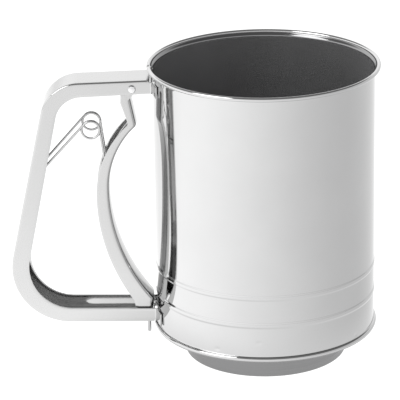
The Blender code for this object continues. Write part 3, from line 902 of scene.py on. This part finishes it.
def channel_points(web, edge, half_width, bend, crown=0.0):
    """Rows of points across the outer face of a channel of bent sheet."""
    rows = []
    for web_point, edge_point in zip(web, edge):
        web_point, edge_point = Vector(web_point), Vector(edge_point)
        depth = (web_point - edge_point).length
        across = (web_point - edge_point) / depth
        section = half_section(depth, half_width, bend, crown)
        section += [(along, -side) for along, side in reversed(section[:-1])]
        rows.append([(*(edge_point + across * along), side) for along, side in section])
    return [[(x, side, z) for x, z, side in row] for row in rows]


def tab_path():
    """In plan, how a flange's end bends outward and follows the can's wall."""
    outer = WALL_RADIUS + TAB_CLEARANCE + SHEET
    y = HANDLE_HALF_WIDTH + TAB_BEND
    x = -math.sqrt((outer + TAB_BEND) ** 2 - y**2)
    lean = math.degrees(math.atan2(y, -x))
    path = arc((x, y), TAB_BEND, -90, -lean, 7)
    path += arc((0, 0), outer, 180 - lean, 180 - TAB_END_DEGREES, 10)[1:]
    return path


def add_tabs(points, faces, row, row_points, outward):
    """Continues both flanges at one end of the channel as tabs along the wall."""
    columns = len(row_points)
    for side in (1, -1):
        flange = range(FLANGE_STEPS + 1) if side > 0 else range(columns - FLANGE_STEPS - 1, columns)
        previous = [row * columns + column for column in flange]
        for x, y in tab_path():
            fresh = []
            for column in flange:
                fresh.append(len(points))
                points.append((x, side * y, row_points[column][2]))
            for index in range(len(fresh) - 1):
                face = (previous[index], previous[index + 1], fresh[index + 1], fresh[index])
                faces.append(face if outward else face[::-1])
            previous = fresh


def make_handle(material):
    web = paired_rail(HANDLE_WEB, HANDLE_WEB_RADII)
    edge = paired_rail(HANDLE_EDGE, HANDLE_EDGE_RADII)
    rows = channel_points(web, edge, HANDLE_HALF_WIDTH, CHANNEL_BEND)
    points = [point for row in rows for point in row]
    faces = [face[::-1] for face in grid_faces(len(rows), len(rows[0]))]
    add_tabs(points, faces, 0, rows[0], True)
    add_tabs(points, faces, len(rows) - 1, rows[-1], False)
    handle = mesh_object("handle_fine", points, faces)
    thicken(handle, SHEET)
    round_edges(handle, HANDLE_EDGE_ROUNDING)
    cut(handle, pivot_hole())
    half = HANDLE_SLOT_HALF_WIDTH
    low_x, high_x = HANDLE_SLOT_X
    slot = arc((low_x + half, 0), half, 90, 270, 20) + [(high_x, -half), (high_x, half)]
    cut(handle, extruded("slot", slot, *HANDLE_SLOT_Z))
    smooth(handle)
    as_piece(handle, "handle", "can", material)


def make_rivet(material):
    low, high = box_mm("trigger_pivot")
    radius, reach = (high.x - low.x) / 2, high.y
    face = HANDLE_HALF_WIDTH + RIVET_CLEARANCE
    dome = [(AXIS_GAP, reach), (radius * 0.45, reach - 0.07), (radius * 0.8, reach - 0.28)]
    dome += [(radius, face + 0.35), (radius * 0.96, face), (RIVET_SHANK_RADIUS, face)]
    profile = dome + [(size, -along) for size, along in reversed(dome)]
    rivet = turned_ring("trigger_rivet", profile, 48)
    turn = Matrix.Rotation(math.radians(90), 4, "X")
    home = Matrix.Translation((AXIS_X, 0, 0))
    there = Matrix.Translation((PIVOT[0] * MM, 0, PIVOT[1] * MM))
    rivet.data.transform(home @ there @ turn @ home.inverted())
    as_piece(rivet, "trigger_pivot", "can", material)


# The trigger


def trigger_rail(neck, kink, kink_radius, waist, upper_radius, lower_radius, low_z, foot):
    """The neck, the bow in two arcs that meet at its outermost point, and the foot."""
    rise = math.degrees(math.asin((kink[1] - KINK_TO_BOW - waist[1]) / upper_radius))
    drop = math.degrees(math.asin((waist[1] - low_z) / lower_radius))
    upper = arc((waist[0] + upper_radius, waist[1]), upper_radius, 180 - rise, 180, 30)
    lower = arc((waist[0] + lower_radius, waist[1]), lower_radius, 180, 180 + drop, 45)
    corner = rounded_corner(neck[-1], kink, upper[0], kink_radius, 8)
    points = line(*neck, 4) + line(neck[-1], corner[0], 7)[1:-1] + corner
    points += line(corner[-1], upper[0], 3)[1:-1] + upper + lower[1:]
    return points + line(lower[-1], foot, 5)[1:]


def pivot_ear(side):
    """A flange's rounded end about the hinge, a hair inside the flange's own faces."""
    outline = arc(PIVOT, EAR_RADIUS, *EAR_DEGREES, 24) + list(EAR_ROOT)
    outer = TRIGGER_HALF_WIDTH - EAR_INSET
    inner = TRIGGER_HALF_WIDTH - SHEET + EAR_INSET
    low, high = sorted((side * outer, side * inner))
    plate = extruded("ear", outline, low, high)
    swap = Matrix(((1, 0, 0, 0), (0, 0, 1, 0), (0, 1, 0, 0), (0, 0, 0, 1)))
    plate.data.transform(swap)
    plate.data.flip_normals()
    return plate


def pivot_hole():
    x, z = PIVOT
    return cylinder_object("hole", PIVOT_HOLE_RADIUS, (x, -PIVOT_HOLE_REACH, z), (x, PIVOT_HOLE_REACH, z))


def make_trigger(material):
    web, edge = trigger_rail(**TRIGGER_WEB), trigger_rail(**TRIGGER_EDGE)
    rows = channel_points(web, edge, TRIGGER_HALF_WIDTH, TRIGGER_BEND, TRIGGER_CROWN)
    points = [point for row in rows for point in row]
    trigger = mesh_object("trigger_fine", points, grid_faces(len(rows), len(rows[0])))
    thicken(trigger, SHEET)
    round_edges(trigger, TRIGGER_EDGE_ROUNDING)
    for side in (1, -1):
        cut(trigger, pivot_ear(side), "UNION")
    foot = list(FOOT_OUTLINE) + [(x, -y) for x, y in reversed(FOOT_OUTLINE)]
    cut(trigger, extruded("foot", foot[::-1], *FOOT_Z), "UNION")
    cut(trigger, pivot_hole())
    under, over = [(*ROD_OUTER, z) for z in ROD_HOLE_Z]
    cut(trigger, cylinder_object("hole", ROD_HOLE_RADIUS, under, over))
    cut(trigger, box_object("slot", WEB_SLOT_X, WEB_SLOT_Y, WEB_SLOT_Z))
    smooth(trigger)
    as_piece(trigger, "trigger", "trigger", material)


# The spring


def tangent_degrees(point, hand):
    """Where a straight leg to this point leaves the coil's circle."""
    away = Vector(point) - Vector(SPRING_COIL)
    opening = math.degrees(math.acos(SPRING_COIL_RADIUS / away.length))
    return math.degrees(math.atan2(away.y, away.x)) - hand * opening


def coil_side(side):
    inner_y, outer_y = SPRING_COIL_Y
    start = tangent_degrees(SPRING_TRIGGER_END, -1)
    end = tangent_degrees(SPRING_GRIP_BEND, 1)
    turn = (end - start) % 360 + 360
    coil = arc(SPRING_COIL, SPRING_COIL_RADIUS, start, start + turn, SPRING_COIL_STEPS)
    first = [(x, z, inner_y) for x, z in line(SPRING_TRIGGER_END, coil[0], 10)[:-1]]
    turns = []
    for step, (x, z) in enumerate(coil):
        turns.append((x, z, inner_y + (outer_y - inner_y) * step / SPRING_COIL_STEPS))
    leg = line((*coil[-1], outer_y), (*SPRING_GRIP_BEND, inner_y), 16)[1:-1]
    return [(x, side * y, z) for x, z, y in first + turns + leg]


def make_spring(material):
    grip = Vector((SPRING_GRIP_BEND[0], SPRING_COIL_Y[0], SPRING_GRIP_BEND[1]))
    left, right = coil_side(1), coil_side(-1)
    along = (Vector(left[-1]) - grip).normalized()
    corner = []
    for step in range(SPRING_BEND_STEPS + 1):
        share = step / SPRING_BEND_STEPS
        start = grip + along * SPRING_BEND * (1 - share)
        end = grip + Vector((0, -1, 0)) * SPRING_BEND * share
        corner.append(tuple(start.lerp(end, share)))
    path = left[:-1] + corner
    path += [(x, -y, z) for x, y, z in reversed(corner)] + list(reversed(right[:-1]))
    spring = tube_object("trigger_spring_fine", [path], SPRING_WIRE_RADIUS, 14)
    as_piece(spring, "trigger_spring", None, material)
    start = placed([SPRING_STILL])[0]
    end = placed([SPRING_MOVING])[0]
    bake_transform(spring)


# Floor, light and camera


def make_floor():
    """A pale table lit by its own painted glow, strongest on the handle's side; close to the can the glow
    is even and lower, a painted shade about the can's foot.
    """
    mesh = bpy.data.meshes.new("table")
    shape = bmesh.new()
    bmesh.ops.create_grid(shape, x_segments=2, y_segments=2, size=FLOOR_HALF_SIZE)
    shape.to_mesh(mesh)
    shape.free()
    floor = bpy.data.objects.new("table", mesh)
    floor.location = (AXIS_X, 0, 0)
    bpy.context.scene.collection.objects.link(floor)
    material = bpy.data.materials.new("table_paint_and_glow")
    material.use_nodes = True
    make = node_maker(material)
    shader = material.node_tree.nodes["Principled BSDF"]
    place = make("ShaderNodeTexCoord").outputs["Object"]
    links = material.node_tree.links
    flat = make("ShaderNodeVectorMath", {"operation": "MULTIPLY"})
    links.new(place, flat.inputs[0])
    flat.inputs[1].default_value = (1.0, 1.0, 0.0)
    reach = make("ShaderNodeVectorMath", {"operation": "LENGTH"})
    links.new(flat.outputs[0], reach.inputs[0])
    away = make("ShaderNodeVectorMath", {"operation": "NORMALIZE"})
    links.new(flat.outputs[0], away.inputs[0])
    split = make("ShaderNodeSeparateXYZ", Vector=away.outputs[0])
    amount = fade(make, reach.outputs["Value"], GLOW_START_RADIUS, GLOW_FULL_RADIUS, 0.0, 1.0)
    behind = combined(make, "MAXIMUM", split.outputs["Y"], 0.0)
    level = combined(make, "MULTIPLY_ADD", behind, GLOW_BEHIND, GLOW_AHEAD - GLOW_NEAR)
    sideways = combined(make, "MULTIPLY_ADD", behind, GLOW_TO_RIGHT * GLOW_EVEN_BEHIND, GLOW_TO_RIGHT)
    far = combined(make, "MULTIPLY_ADD", split.outputs["X"], sideways, level)
    glow = combined(make, "MULTIPLY_ADD", amount, far, GLOW_NEAR)
    shader.inputs["Base Color"].default_value = (FLOOR_PAINT, FLOOR_PAINT, FLOOR_PAINT, 1.0)
    shader.inputs["Roughness"].default_value = 0.9
    shader.inputs["Specular IOR Level"].default_value = 0.0
    shader.inputs["Emission Color"].default_value = (1.0, 1.0, 1.0, 1.0)
    links.new(glow, shader.inputs["Emission Strength"])
    mesh.materials.append(material)


def make_sky():
    """A white studio whose ceiling is dark, so that the inside of the can stays dark."""
    world = bpy.data.worlds.new("studio")
    world.use_nodes = True
    bpy.context.scene.world = world
    make = node_maker(world)
    links = world.node_tree.links
    background = world.node_tree.nodes["Background"]
    direction = make("ShaderNodeTexCoord").outputs["Generated"]
    split = make("ShaderNodeSeparateXYZ", Vector=direction)
    low = fade(make, split.outputs["Z"], *SKY_LOW_FADE, SKY_HORIZON, SKY_ABOVE)
    high = fade(make, split.outputs["Z"], *SKY_HIGH_FADE, 1.0, SKY_TOP / SKY_ABOVE)
    right = combined(make, "MULTIPLY_ADD", split.outputs["X"], SKY_TO_RIGHT, 1.0)
    strength = combined(make, "MULTIPLY", combined(make, "MULTIPLY", low, high), right)
    links.new(strength, background.inputs["Strength"])
    background.inputs["Color"].default_value = (1.0, 1.0, 1.0, 1.0)


def add_area_light(name, place, target, size, power):
    light = bpy.data.lights.new(name, "AREA")
    light.shape = "DISK"
    light.size = size
    light.energy = power
    obj = bpy.data.objects.new(name, light)
    obj.location = place
    obj.rotation_euler = (Vector(target) - Vector(place)).to_track_quat("-Z", "Y").to_euler()
    bpy.context.scene.collection.objects.link(obj)


def make_camera():
    """Looks along +Y from above, rolled a little."""
    elevation, roll = math.radians(CAMERA_ELEVATION), math.radians(CAMERA_ROLL)
    data = bpy.data.cameras.new("camera")
    data.lens = CAMERA_LENS
    data.sensor_width = CAMERA_SENSOR
    data.clip_start = CAMERA_CLIP_START
    camera = bpy.data.objects.new("camera", data)
    target = Vector(placed([CAMERA_TARGET])[0])
    back = Vector((0, -math.cos(elevation), math.sin(elevation)))
    upright = Vector((0, math.sin(elevation), math.cos(elevation)))
    right = Vector((1, 0, 0)) * math.cos(roll) + upright * math.sin(roll)
    up = back.cross(right)
    turn = Matrix((right, up, back)).transposed().to_4x4()
    camera.matrix_world = Matrix.Translation(target + back * CAMERA_DISTANCE) @ turn
    bpy.context.scene.collection.objects.link(camera)
    bpy.context.scene.camera = camera


make_camera()
make_floor()
make_sky()
add_area_light("key", KEY_PLACE, KEY_TARGET, KEY_SIZE, KEY_POWER)
bpy.context.scene.view_settings.view_transform = "Standard"

MATERIALS = make_materials()
make_can(MATERIALS["polished"], MATERIALS["inside"], MATERIALS["collar"], MATERIALS["lip_painted_shade"])
make_rim_wire(MATERIALS["wire"])
make_base_pan(MATERIALS["collar"])
make_screen(MATERIALS["mesh"])
make_flat_rings(MATERIALS)
make_pivot_pin(MATERIALS["turned"])
make_bridge(MATERIALS["plate"])
make_star(MATERIALS["plate"])
make_blades(MATERIALS["plate"])
make_drive_rod(MATERIALS["wire"])
make_handle(MATERIALS["formed"])
make_rivet(MATERIALS["turned"])
make_trigger(MATERIALS["trigger"])
make_spring(MATERIALS["wire"])
